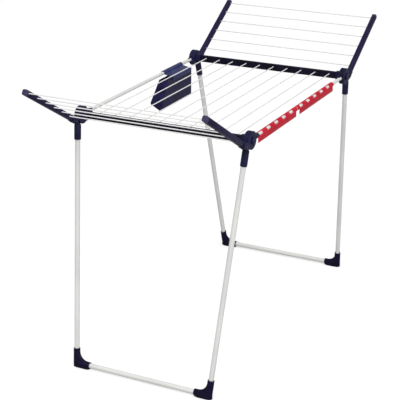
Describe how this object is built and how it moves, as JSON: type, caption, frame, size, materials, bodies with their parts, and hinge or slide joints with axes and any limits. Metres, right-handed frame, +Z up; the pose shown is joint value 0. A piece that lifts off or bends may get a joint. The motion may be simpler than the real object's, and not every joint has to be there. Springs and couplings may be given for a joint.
{
  "type": "clothes drying rack",
  "caption": "Winged clothes drying rack with folding leg frames, hinged wings of drying lines, clip-on small-item holders and a hanging peg basket.",
  "frame": {"origin": "on the floor, under the middle of the rack as it stands open", "axes": "+X along the drying lines from the near end to the far end, +Y across to the left-hand rail, +Z up"},
  "size_m": [1.6216, 0.7111, 1.1021],
  "materials": {
    "white_tube": "warm white powder coat, satin",
    "white_line": "white plastic-coated steel wire, satin",
    "navy_bar": "dark navy powder coat, satin",
    "navy_hub": "moulded dark navy plastic, fine grain",
    "navy_arm": "moulded dark navy plastic, satin",
    "arm_cap": "moulded navy plastic, slightly lighter",
    "navy_foot": "moulded dark navy plastic, fine grain",
    "navy_basket": "moulded navy plastic, satin",
    "blue_hanger": "moulded lighter navy plastic, satin",
    "red_holder": "moulded crimson plastic, satin",
    "pad_rubber": "dark grey non-slip rubber",
    "zinc_steel": "zinc-plated steel"
  },
  "bodies": {
    "top_frame": {"rail_left": "white_tube", "rail_right": "white_tube", "end_bar_near": "navy_bar", "end_bar_far": "navy_bar", "main_lines": "white_line", "corner_hub_near_left": "navy_hub", "corner_hub_near_right": "navy_hub", "corner_hub_far_left": "navy_hub", "corner_hub_far_right": "navy_hub", "pivot_bolts": "zinc_steel", "pivot_nuts": "zinc_steel", "pivot_caps": "navy_hub", "small_item_holder_near": "red_holder", "small_item_holder_far": "red_holder"},
    "legs_near": {"leg_head_near_left": "navy_hub", "leg_head_near_right": "navy_hub", "leg_tube_near_left": "white_tube", "leg_tube_near_right": "white_tube", "foot_near_left": "navy_foot", "foot_near_right": "navy_foot", "leg_crossbar_near": "white_tube", "foot_pads_near": "pad_rubber"},
    "wing_near": {"wing_hub_near_left": "navy_hub", "wing_hub_near_right": "navy_hub", "wing_arm_near_left": "navy_arm", "wing_arm_near_right": "navy_arm", "wing_lines_near": "white_line", "wing_arm_caps_near": "arm_cap"},
    "legs_far": {"leg_head_far_left": "navy_hub", "leg_head_far_right": "navy_hub", "leg_tube_far_left": "white_tube", "leg_tube_far_right": "white_tube", "foot_far_left": "navy_foot", "foot_far_right": "navy_foot", "leg_crossbar_far": "white_tube", "foot_pads_far": "pad_rubber"},
    "wing_far": {"wing_hub_far_left": "navy_hub", "wing_hub_far_right": "navy_hub", "wing_arm_far_left": "navy_arm", "wing_arm_far_right": "navy_arm", "wing_lines_far": "white_line", "wing_arm_caps_far": "arm_cap"},
    "peg_basket": {"peg_basket": "navy_basket", "peg_basket_hanger": "blue_hanger"}
  },
  "joints": [
    {"name": "near_leg_fold", "type": "hinge", "parent": "top_frame", "child": "legs_near", "pos_m": [-0.456, 0, 0.92], "axis": [0, -1, 0], "range_deg": [0, 86]},
    {"name": "far_leg_fold", "type": "hinge", "parent": "top_frame", "child": "legs_far", "pos_m": [0.456, 0, 0.92], "axis": [0, 1, 0], "range_deg": [0, 97.2]},
    {"name": "near_wing_fold", "type": "hinge", "parent": "top_frame", "child": "wing_near", "pos_m": [-0.456, 0, 0.92], "axis": [0, 1, 0], "range_deg": [0, 149]},
    {"name": "far_wing_fold", "type": "hinge", "parent": "top_frame", "child": "wing_far", "pos_m": [0.456, 0, 0.92], "axis": [0, -1, 0], "range_deg": [0, 149]},
    {"name": "basket_swing", "type": "hinge", "parent": "top_frame", "child": "peg_basket", "pos_m": [0.24, 0.334, 0.92], "axis": [1, 0, 0], "range_deg": [0, 115]}
  ],
  "couplings": [
    {"joint": "basket_swing", "follows": "far_leg_fold", "ratio": 1.183}
  ]
}
